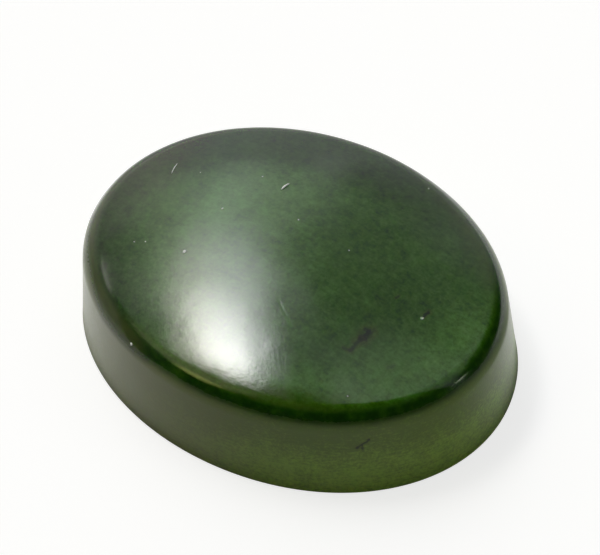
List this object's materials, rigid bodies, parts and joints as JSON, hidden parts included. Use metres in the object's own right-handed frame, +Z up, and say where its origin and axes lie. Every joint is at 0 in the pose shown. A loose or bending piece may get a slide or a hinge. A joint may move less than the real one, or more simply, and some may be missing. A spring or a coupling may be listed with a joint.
{
  "type": "jade cabochon",
  "caption": "Oval polished green jade stone with a flat back, a low dome, a rolled shoulder and a slightly leaning side wall.",
  "frame": {"origin": "centre of the flat back, on the surface that the stone lies on", "axes": "+X along the long axis of the oval, +Y across it, +Z up out of the dome"},
  "size_m": [0.02, 0.016, 0.006],
  "materials": {
    "polished_jade": "polished, with a slightly hazy gloss on the dome and a satin wall"
  },
  "bodies": {
    "root": {"cabochon": "polished_jade"}
  },
  "joints": []
}
